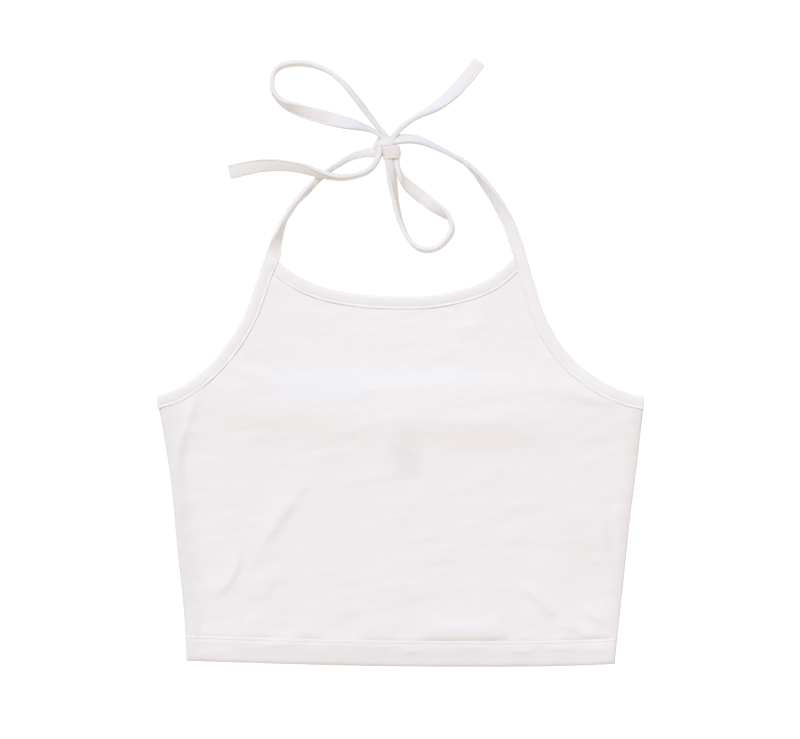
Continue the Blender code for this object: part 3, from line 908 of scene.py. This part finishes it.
def cloth_material(name, colour, knit=0.35, light_and_shade=()):
    """Matt white jersey: a fine knit, a faint mottle of the yarn, a soft nap and any painted light and
    shade added to its colour.
    """
    material, tree, shader = new_material(name)
    place = add_node(tree, "ShaderNodeTexCoord").outputs["Object"]
    split = add_node(tree, "ShaderNodeSeparateXYZ")
    tree.links.new(place, split.inputs[0])
    x, y = split.outputs[0], split.outputs[1]
    calc = functools.partial(math_node, tree)
    fuzz = calc("MULTIPLY", noise_output(tree, place, "fuzz"), 0.8)
    bump = add_node(tree, "ShaderNodeBump", in0=knit, in1=KNIT_RELIEF)
    tree.links.new(calc("ADD", knit_height(calc, x, y), fuzz), bump.inputs["Height"])
    tree.links.new(bump.outputs[0], shader.inputs["Normal"])
    shade = add_node(tree, "ShaderNodeMapRange", in1=0.3, in2=0.7, in3=1.0 - MOTTLE, in4=1.0)
    tree.links.new(noise_output(tree, place, "mottle"), shade.inputs[0])
    paint = scaled_colour(tree, colour, shade.outputs[0])
    # The painted light and shade of the tables is added to the colour here.
    tree.links.new(add_painted_light(tree, paint, x, y, light_and_shade), shader.inputs["Base Color"])
    nap = {"Roughness": 0.92, "Specular IOR Level": 0.25, "Sheen Weight": 0.12, "Sheen Roughness": 0.6}
    set_inputs(shader, nap)
    return material


def panel_edge(armhole, distance):
    """A line inside an armhole's outer edge, cut off straight above the side seam and at the tie."""
    outer = through(armhole)
    inwards = -1 if armhole is ARMHOLE_LEFT else 1
    line = beside(outer, distance * inwards)
    along = headings(outer)
    line[0] = outer[0] - np.array([0.0, distance / abs(along[0, 0])])
    line[-1] = outer[-1] - np.array([inwards * distance / along[-1, 1], 0.0])
    return line


def front_side(armhole, neck):
    """Points up one side of the front: its side seam from the hem, and its armhole up to the neck."""
    sign, hem_y = (-1, HEM_EDGE[0][1]) if armhole is ARMHOLE_LEFT else (1, HEM_EDGE[-1][1])
    curve = panel_edge(armhole, TUCK)
    above = curve[:, 1] >= height_at(neck, curve[:, 0])
    curve = curve[: int(np.argmax(above)) + 1]
    hem = hem_y + HEM_LEVELS
    side = np.linspace(hem[-1], curve[0, 1], FRONT_SIDE_ROWS + 1)[1:]
    seam = np.concatenate([hem, side])
    return np.vstack([
        np.column_stack([sign * half_width(sign, seam), seam]),
        spaced(curve, FRONT_ARMHOLE_ROWS)[1:],
    ])


def front_plan():
    """Plan of the front's grid of points, which bends to the hem below and to the neckline above."""
    neck = beside(through(NECKLINE), -TUCK)
    left, right = front_side(ARMHOLE_LEFT, neck), front_side(ARMHOLE_RIGHT, neck)
    step = np.linspace(0, 1, FRONT_COLUMNS + 1)
    u = step - COLUMN_CROWDING * np.sin(2 * math.pi * step) / (2 * math.pi)
    x = left[:, :1] + (right[:, :1] - left[:, :1]) * u
    y = left[:, 1:] + (right[:, 1:] - left[:, 1:]) * u
    rows = np.arange(len(left))
    below = FRONT_HEM_ROWS + FRONT_SIDE_ROWS
    hem_share = 1.0 - ease(rows, FRONT_HEM_ROWS, FRONT_HEM_ROWS + FRONT_SIDE_ROWS / 2)
    neck_share = np.clip((rows - below) / FRONT_ARMHOLE_ROWS, 0, 1) ** 2
    hem_x = blend(HEM_EDGE[0][0], HEM_EDGE[-1][0], u)
    hem_line = blend(HEM_EDGE[0][1], HEM_EDGE[-1][1], u)
    neck_x = blend(left[-1, 0], right[-1, 0], u)
    neck_line = blend(left[-1, 1], right[-1, 1], u)
    y = y + hem_share[:, None] * (height_at(HEM_CURVE, hem_x) - hem_line)
    y = y + neck_share[:, None] * (height_at(neck, neck_x) - neck_line)
    return x, y


def rolled(distance, reach):
    """How far a rolled edge has dropped: 1 at the edge and 0 from this reach inwards."""
    share = 1 - np.clip(distance / reach, 0, 1)
    return 1 - np.sqrt(np.clip(1 - share**2, 0, 1))


def hem_bulges(x, above):
    """Height of the bulges over the hem, at this distance above its upper stitches."""
    across = ease(above, -0.2, BULGE_RISE) * (1 - ease(above, BULGE_RISE, BULGE_REACH))
    total = 0.0
    for x0, x1, height in HEM_BULGES:
        along = np.clip((x - x0) / (x1 - x0), 0, 1)
        total = total + height * np.sin(math.pi * along) ** 0.7
    return total * across


def wall_thickness(above_edge):
    """Thickness of a panel's wall, at this distance above its lower edge."""
    return blend(WALL, HEM_WALL, ease(-above_edge, -HEM_DEPTH - 0.6, -HEM_DEPTH + 0.4))


def stitch_grooves(above_edge, depth, width):
    """How far the hem's twin rows of stitches draw the cloth in."""
    return sum(depth * np.exp(-(((above_edge - row) / width) ** 2)) for row in TWIN_ROWS)


def front_top(x, y):
    """Height of the front's outer face, with its folds, creases and hem."""
    hem = y - height_at(HEM_CURVE, x)
    body = ease(hem, HEM_DEPTH - 1.5, HEM_DEPTH + 4.0)
    creases = CREASE_GAIN * fold_height(FRONT_CREASES, x, y) + wrinkles(FINE_WRINKLES, x, y)
    ripples = fold_height(HEM_RIPPLES, x, y) + wrinkles(HEM_WAVES, x, y)
    top = under_front(x, y) + wall_thickness(hem)
    top = top + body * creases + (1 - body) * ripples
    top = top + fold_height(FRONT_SWELLS, x, y) + hem_bulges(x, hem - TWIN_ROWS[1])
    top = top - stitch_grooves(hem, *FRONT_GROOVE)
    top = top - HEM_DROP * rolled(hem, HEM_ROLL)
    edge = np.where(y < ARMHOLE_LEFT[0][1] - TUCK, half_width(x, y) - np.abs(x), SEAM_ROLL)
    return top - (top - SEAM_HEIGHT) * rolled(edge, SEAM_ROLL)


def make_front(material):
    """The front, whose shell thins where its edges roll down to the table."""
    x, y = front_plan()
    top = front_top(x, y)
    low = np.maximum(top - FRONT_SHELL, np.minimum(top - THINNEST_SHELL, TABLE_CLEARANCE))
    piece = make_shell("front_cloth", x, y, top, low, material)
    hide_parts("front_panel")
    return piece


def make_back(material):
    """The back, flat on the table, with faint pressed creases in its underside."""
    u = np.linspace(-1.0, 1.0, BACK_COLUMNS + 1)[None, :]
    hem_y = height_at(HEM_CURVE, u * HEM_EDGE[-1][0]) + SEAM_GAP
    top_y = height_at(BACK_TOP, u * BACK_EDGE[-1][0]) - TUCK
    y = blend(hem_y, top_y, np.linspace(0, 1, BACK_ROWS + 1)[:, None])
    width = half_width(u + 0 * y, y)
    x = u * (width - BACK_INSET)
    hem = y - hem_y
    low = BACK_UNDERSIDE + fold_height(BACK_CREASES, x, y)
    low = low + BACK_RISE * rolled(width - np.abs(x), BACK_ROLL)
    low = low + stitch_grooves(hem, *BACK_GROOVE)
    top = np.maximum(low + BACK_THINNEST, wall_thickness(hem) + BACK_UNDERSIDE)
    piece = make_shell("back_cloth", x, y, top, low, material)
    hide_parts("back_panel")
    return piece


def strip_columns():
    """The strip's section all the way round, as four columns."""
    upper = np.array(STRIP_SECTION)
    lower = upper[::-1].copy()
    lower[:, 1] = STRIP_UNDERSIDE
    lower[:, 3] = -lower[:, 3]
    return np.vstack([upper, lower]).T


def binding_rings(outer, inner, base, seed, into_tie=False, low_ends=False, flare=0.0):
    """Rings of a folded strip between two edges, with puckers along its stitching.

    Its end may turn into a tie and flare inwards by a part of its width.
    """
    count = int(lengths_along(outer)[-1] / RING_STEP)
    a, b = spaced(outer, count), spaced(inner, count)
    along = lengths_along(a)[:, None]
    to_end = along[-1] - along
    share = (1 - ease(to_end, 0.0, MORPH_LENGTH)) if into_tie else 0.0
    across, height, tie_across, tie_height = strip_columns()
    across = blend(across, (tie_across + 1) / 2 * BINDING_WIDTH, share)
    flat_tie = TIE_THICKNESS / 2 + (TIE_THICKNESS / 2 - STRIP_UNDERSIDE) * tie_height
    height = blend(height, flat_tie, share) + 0 * along
    if low_ends:
        height = height * blend(LOW_END, 1.0, ease(np.minimum(along, to_end), 0.0, LOW_END_LENGTH))
    part = across / BINDING_WIDTH * (1 + flare * share) + 0 * along
    puckers = uneven(along + PUCKER_SLANT * part, part, BINDING_PUCKERS, seed)
    puckers = puckers + uneven(along + 0 * part, 0 * part, BINDING_WAVES, seed + 1)
    x = a[:, :1] + (b[:, :1] - a[:, :1]) * part
    y = a[:, 1:] + (b[:, 1:] - a[:, 1:]) * part
    z = base(x, y) + height + puckers * ease(height, 0.9, 2.0)
    return np.dstack([x, y, z])


def full_rows(table):
    """A tie's table with the lifts and widths that its rows leave out."""
    return [(*row, *USUAL_LIFT_AND_WIDTH[len(row) - 3:]) for row in table]


def tie_route(table, start_run, end_run, level_start):
    """Evenly spaced rows of a tie's table and their directions, with a straight run at either end."""
    path = through(full_rows(table))
    rows = spaced(path, int(lengths_along(path)[-1] / RING_STEP))
    along = headings(rows)
    if level_start:
        square = ease(lengths_along(rows), 0.0, LEVEL_LENGTH)[:, None]
        along = blend(np.array([0.0, 1.0]), along, square)
        along /= np.linalg.norm(along, axis=1, keepdims=True)
    if start_run:
        more = rows[:1].copy()
        more[0, :2] -= along[0] * start_run
        rows, along = np.vstack([more, rows]), np.vstack([along[:1], along])
    if end_run:
        more = rows[-1:].copy()
        more[0, :2] += along[-1] * end_run
        rows, along = np.vstack([rows, more]), np.vstack([along, along[-1:]])
    return rows, along


def tie_axes(along, lean):
    """Unit directions across a tie's width and through its thickness."""
    flat_left = np.column_stack([-along[:, 1], along[:, 0], 0 * lean])
    upright = np.array([[0.0, 0.0, 1.0]])
    cosine, sine = np.cos(lean)[:, None], np.sin(lean)[:, None]
    return flat_left * cosine + upright * sine, upright * cosine - flat_left * sine


def half_thickness(width, lean, to_end, free_end):
    """Half a tie's thickness: more where it is bunched or stands, and less at its free end."""
    half = (TIE_THICKNESS / 2 - STRIP_UNDERSIDE) * (1 + BUNCHED_SWELL * (1 - width / TIE_WIDTH))
    half = half * (1 + STANDING_SWELL * np.sin(lean) ** 2)
    if free_end:
        half = half * blend(FREE_END_THICKNESS, 1.0, ease(to_end, -0.4, 1.1))
    return half


def tie_rings(table, side, start_run=0.0, end_run=0.0, level_start=False, free_end=False):
    """Rings of a tie along its route, and the lines of its stitches with their normals, on both faces."""
    rows, along = tie_route(table, start_run, end_run, level_start)
    distance = lengths_along(rows)
    sway = uneven(distance, 0 * distance, TIE_SWAY, int(abs(table[0][0]) * 10))
    lean = np.radians(rows[:, 2] + sway)
    wide, thick = tie_axes(along, lean)
    half_wide = rows[:, 4] / 2
    half_thick = half_thickness(rows[:, 4], lean, distance[-1] - distance, free_end)
    _, _, across, height = strip_columns()
    noise_across = height * 2 + across + 0 * distance[:, None]
    pucker = 1 + uneven(distance[:, None], noise_across, TIE_PUCKERS, 5)
    flat = wide[:, None] * (side * across * half_wide[:, None])[..., None]
    flat = flat + thick[:, None] * (height * half_thick[:, None] * pucker)[..., None]
    base = np.maximum(rows[:, 3], 0.0) + TIE_CLEARANCE - flat[:, :, 2].min(axis=1)
    middle = np.column_stack([rows[:, 0], rows[:, 1], base])
    _, _, stitch_across, stitch_height = STRIP_SECTION[STITCHED_ROW]
    spot = middle + wide * (side * stitch_across * half_wide)[:, None]
    raised = (stitch_height + STITCH_LIFT) * half_thick
    lines = [(spot + thick * (face * raised)[:, None], thick * face) for face in (1, -1)]
    return flat + middle[:, None], lines


def on_table(x, y):
    return np.zeros(np.shape(x))


def upwards(line):
    return np.tile([0.0, 0.0, 1.0], (len(line), 1))


def stitched_line(rings):
    """The line that a binding's stitches follow."""
    return rings[:, STITCHED_ROW] + np.array([0.0, 0.0, STITCH_LIFT])


def neck_edges():
    """Outer and inner edge of the neck binding, with ends that lie just under the armholes' strips."""
    outer = through(NECKLINE)
    inner = beside(outer, -BINDING_WIDTH)
    for armhole, end in ((ARMHOLE_LEFT, 0), (ARMHOLE_RIGHT, -1)):
        seam = panel_edge(armhole, BINDING_WIDTH - 1.0)
        for line in (inner, outer):
            above = seam[:, 1] >= height_at(line, seam[:, 0])
            line[end] = seam[int(np.argmax(above))] if above.any() else seam[-1]
    return outer, inner


def make_strips(material):
    """One strip for each side: an armhole's binding that runs on as a strap to the knot."""
    sides = (
        # name, armhole, strap, stitched side: 1 is left of its route, run into the knot, flare, seed
        ("left", ARMHOLE_LEFT, STRAP_LEFT, -1, 4.0, 0.15, 100),
        ("right", ARMHOLE_RIGHT, STRAP_RIGHT, 1, 3.0, 0.0, 110),
    )
    pieces, lines = {}, []
    for name, armhole, table, side, end_run, flare, seed in sides:
        edges = through(armhole), panel_edge(armhole, BINDING_WIDTH)
        binding = binding_rings(*edges, under_front, seed, into_tie=True, flare=flare)
        tie, stitched = tie_rings(table, side, end_run=end_run, level_start=True)
        rings = np.concatenate([binding, tie[1:]])
        nodes = "armhole_binding_" + name, "strap_" + name
        pieces["strip_" + name] = make_cloth("strip_" + name, rings, material, *nodes)
        on_binding = stitched_line(binding)
        (upper, upper_up), lower = stitched
        run = np.concatenate([on_binding, upper[1:]])
        lines.append((run, np.concatenate([upwards(on_binding), upper_up[1:]])))
        lines.append(lower)
    return pieces, lines


def make_bindings(material):
    """The neck's and the back's bindings, and the lines that their stitches follow."""
    neck_outer, neck_inner = neck_edges()
    back_inner = beside(BACK_TOP, -BINDING_WIDTH)
    forms = {
        "neck_binding": binding_rings(neck_outer, neck_inner, on_table, 120, low_ends=True),
        "back_binding": binding_rings(BACK_TOP, back_inner, on_table, 130),
    }
    pieces, lines = {}, []
    for name, rings in forms.items():
        pieces[name] = make_cloth(name, rings, material, name)
        line = stitched_line(rings)
        lines.append((line, upwards(line)))
    return pieces, lines


def make_bow(material):
    """The bow's two loops and the two tails."""
    stretches = {
        # table, stitched side, run at its start, run at its end
        "loop_upper": (LOOP_UPPER, -1, 3.5, 3.5),
        "loop_lower": (LOOP_LOWER, 1, 3.5, 3.5),
        "tail_upper": (TAIL_UPPER, -1, 3.5, 0.0),
        "tail_left": (TAIL_LEFT, -1, 1.0, 0.0),
    }
    pieces, lines = {}, []
    for name, values in stretches.items():
        rings, stitched = tie_rings(*values, free_end=name.startswith("tail"))
        pieces[name] = make_cloth(name, rings, material, name)
        lines += stitched
    return pieces, lines


def knot_wrap():
    """Rings of the turn of tie round the strands, and the line of its stitches."""
    angle = np.linspace(0.0, 2 * math.pi, KNOT_SIDES, endpoint=False)
    across = np.sign(np.cos(angle)) * np.abs(np.cos(angle)) ** KNOT_ROUNDNESS
    up = np.sign(np.sin(angle)) * np.abs(np.sin(angle)) ** KNOT_ROUNDNESS
    rings = []
    for low, high, left, right, height in through(KNOT_WRAP, KNOT_STEPS):
        x = (left + right) / 2 + (right - left) / 2 * across
        y = blend(low, high, (across + 1) / 2)
        rings.append(np.column_stack([x, y, height * (0.5 + 0.5 * up)]))
    shown = rings[KNOT_STEPS * KNOT_STITCH_SECTION][up > 0.35]
    return np.array(rings), shown[np.argsort(shown[:, 0])]


def knot_patch():
    """Rings of the twist above the wrap."""
    angle = np.linspace(0.0, 2 * math.pi, KNOT_SIDES, endpoint=False)
    return np.array([
        np.column_stack([0 * angle + x, y + depth * np.cos(angle), middle + half * np.sin(angle)])
        for x, y, depth, middle, half in through(KNOT_PATCH, PATCH_STEPS)
    ])


def make_knot(material):
    """The wrap of tie round the strands, the twist above it, and the strand that curls in from the left."""
    wrap, line = knot_wrap()
    curl, _ = tie_rings(KNOT_CURL, 1)
    piece = make_sweeps("knot_cloth", [wrap, knot_patch(), curl], material)
    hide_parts("knot")
    return piece, (line, upwards(line))


def make_label(material):
    half = LABEL_WIDTH / 2 - LABEL_MARGIN
    x, y = np.meshgrid(
        np.linspace(-half, half, 24),
        np.linspace(LABEL_TOP - LABEL_LENGTH + LABEL_MARGIN, LABEL_TOP, 36),
    )
    top = LABEL_TOP_FACE + uneven(x, y, LABEL_WAVES, 71)
    piece = make_shell("label_cloth", x, y, top, top - LABEL_WALL, material)
    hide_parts("label")
    return piece


def hem_lines():
    """The twin rows of stitches on the front's hem, and those under the back's."""
    lines = []
    x = np.linspace(HEM_EDGE[0][0] + HEM_LINE_MARGIN, HEM_EDGE[-1][0] - HEM_LINE_MARGIN, 300)
    for row in TWIN_ROWS:
        y = height_at(HEM_CURVE, x) + row
        line = np.column_stack([x, y, front_top(x, y) + STITCH_LIFT])
        lines.append((line, upwards(line)))
        low = np.column_stack([x, y, 0 * x + BACK_STITCH_HEIGHT])
        lines.append((low, -upwards(low)))
    return lines


def make_stitches(name, lines, material, forms=()):
    forms = list(forms)
    for points, normals in lines:
        forms += stitch_forms(points, normals)
    return make_sweeps(name, forms, material)


def make_floor():
    material, _, shader = new_material("table_white")
    set_inputs(shader, {"Base Color": (0.15, 0.15, 0.15, 1.0), "Roughness": 1.0, "Specular IOR Level": 0.0})
    set_inputs(shader, {"Emission Color": (1.0, 1.0, 1.0, 1.0), "Emission Strength": 0.95})
    mesh = bpy.data.meshes.new("table_top")
    corners = [(x * FLOOR_HALF, y * FLOOR_HALF, -0.0002) for x, y in ((-1, -1), (1, -1), (1, 1), (-1, 1))]
    mesh.from_pydata(corners, [], [(0, 1, 2, 3)])
    mesh.materials.append(material)
    floor = bpy.data.objects.new("table_top", mesh)
    bpy.context.scene.collection.objects.link(floor)


def make_lights():
    world = bpy.data.worlds.new("studio")
    bpy.context.scene.world = world
    world.use_nodes = True
    set_inputs(world.node_tree.nodes["Background"], {"Color": (1.0, 1.0, 1.0, 1.0), "Strength": 0.5})
    for name, energy, colour, angle, towards in SUNS:
        sun = bpy.data.lights.new(name, "SUN")
        sun.energy = energy
        sun.color = colour
        sun.angle = math.radians(angle)
        lamp = bpy.data.objects.new(name, sun)
        lamp.rotation_euler = Vector(towards).to_track_quat("Z", "Y").to_euler()
        bpy.context.scene.collection.objects.link(lamp)


def make_camera():
    """Straight above, at the height that spans the photograph's frame."""
    data = bpy.data.cameras.new("overhead")
    data.lens = 85.0
    data.sensor_width = 36.0
    camera = bpy.data.objects.new("overhead", data)
    bpy.context.scene.collection.objects.link(camera)
    height = PHOTO_WIDTH * PIXEL * data.lens / data.sensor_width
    x = (PHOTO_WIDTH / 2 - ORIGIN_PIXEL[0]) * PIXEL
    y = (ORIGIN_PIXEL[1] - PHOTO_HEIGHT / 2) * PIXEL
    camera.location = (x * METRES, y * METRES, height * METRES)
    bpy.context.scene.camera = camera


def main():
    bpy.context.scene.view_settings.view_transform = "Standard"
    make_camera()
    make_lights()
    make_floor()
    # The front's and the tape's colours carry painted light and shade from their tables.
    jersey = cloth_material("jersey", (0.806, 0.796, 0.790), light_and_shade=FRONT_SHOW_THROUGH_AND_PAINTED_LIGHT)
    jersey_back = cloth_material("jersey_back", (0.806, 0.796, 0.790))
    tape = cloth_material("tape", (0.818, 0.808, 0.806), knit=0.3, light_and_shade=TAPE_TONE_AND_PAINTED_LIGHT)
    thread = cloth_material("thread", (0.89, 0.87, 0.85), knit=0.1)
    woven = cloth_material("woven", (0.55, 0.55, 0.57), knit=0.2)
    front = make_front(jersey)
    back = make_back(jersey_back)
    label = make_label(woven)
    strips, strip_lines = make_strips(tape)
    bindings, binding_lines = make_bindings(tape)
    bow, bow_lines = make_bow(tape)
    knot, knot_line = make_knot(tape)
    stitches_strips = make_stitches("stitches_strips", strip_lines, thread)
    stitches_bindings = make_stitches("stitches_bindings", binding_lines, thread)
    stitches_bow = make_stitches("stitches_bow", [*bow_lines, knot_line], thread)
    stitches_hem = make_stitches("stitches_hem", hem_lines(), thread, bartack_forms(*HEM_BARTACK))
    strips = {**strips, **bindings, **bow}


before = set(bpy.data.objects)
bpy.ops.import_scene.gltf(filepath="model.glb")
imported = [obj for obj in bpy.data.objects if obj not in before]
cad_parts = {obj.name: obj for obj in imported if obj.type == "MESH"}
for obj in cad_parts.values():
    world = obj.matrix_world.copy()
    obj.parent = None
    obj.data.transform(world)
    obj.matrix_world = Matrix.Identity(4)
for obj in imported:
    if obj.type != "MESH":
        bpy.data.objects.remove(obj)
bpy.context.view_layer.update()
main()
